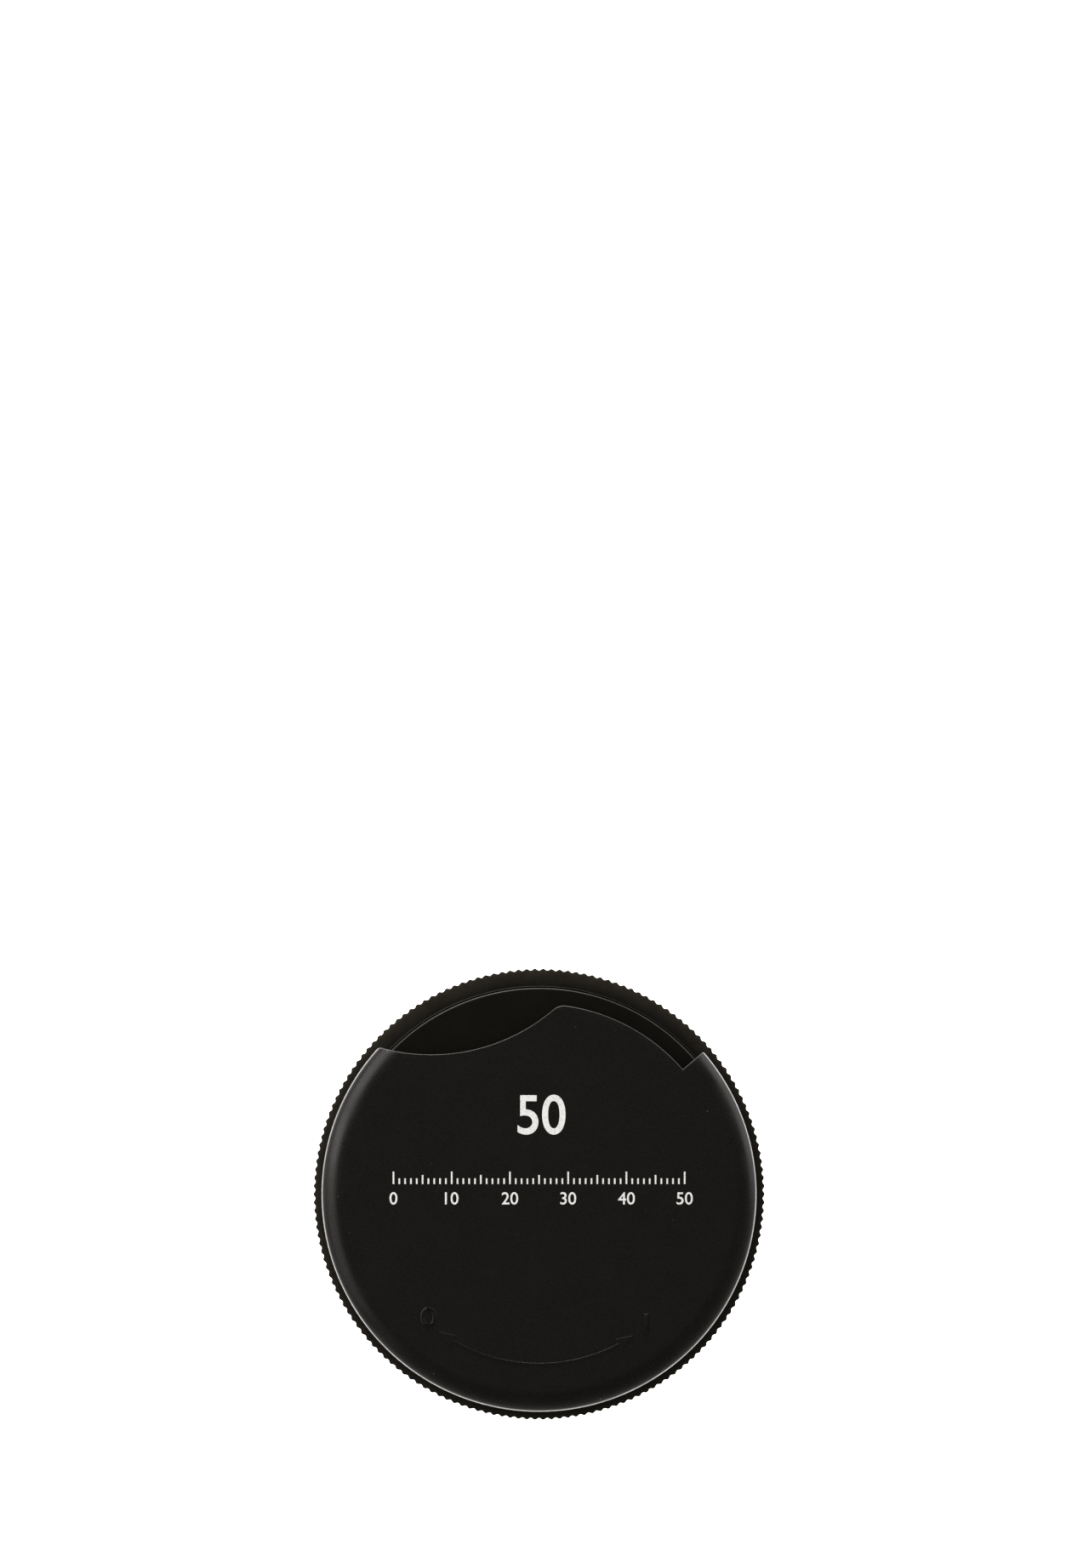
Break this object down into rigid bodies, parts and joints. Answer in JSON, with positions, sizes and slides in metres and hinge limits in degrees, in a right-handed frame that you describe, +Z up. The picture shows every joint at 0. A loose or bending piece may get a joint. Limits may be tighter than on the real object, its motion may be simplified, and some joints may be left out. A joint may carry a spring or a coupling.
{
  "type": "dental floss dispenser",
  "caption": "Round black floss dispenser: ribbed case, deck with steel cutter, turning cover with a thumb notch, and a floss spool inside.",
  "frame": {"origin": "centre of the foot ring's underside, on the table the dispenser lies on", "axes": "+Z up through the middle of the cover, along the axis that the cover and the spool turn about; +Y towards the top of the front face; +X to its right"},
  "size_m": [0.054, 0.054, 0.0168],
  "materials": {
    "case_plastic": "moulded black, fine satin",
    "deck_plastic": "moulded black, smooth",
    "cover_plastic": "moulded black, satin",
    "cutter_steel": "stamped stainless strip",
    "spool_plastic": "natural white",
    "waxed_floss": "waxed filament",
    "label_film": "blank white film"
  },
  "bodies": {
    "case": {"base_case": "case_plastic", "inner_deck": "deck_plastic", "floss_cutter": "cutter_steel", "floss_thread": "waxed_floss", "back_label": "label_film"},
    "cover": {"turning_cover": "cover_plastic"},
    "spool": {"floss_spool": "spool_plastic", "floss_winding": "waxed_floss"}
  },
  "joints": [
    {"name": "cover_turn", "type": "hinge", "parent": "case", "child": "cover", "pos_m": [0, 0, 0.0142], "axis": [0, 0, 1], "range_deg": [0, 60]},
    {"name": "spool_turn", "type": "hinge", "parent": "case", "child": "spool", "pos_m": [0, 0, 0.0073], "axis": [0, 0, 1], "continuous": true}
  ]
}
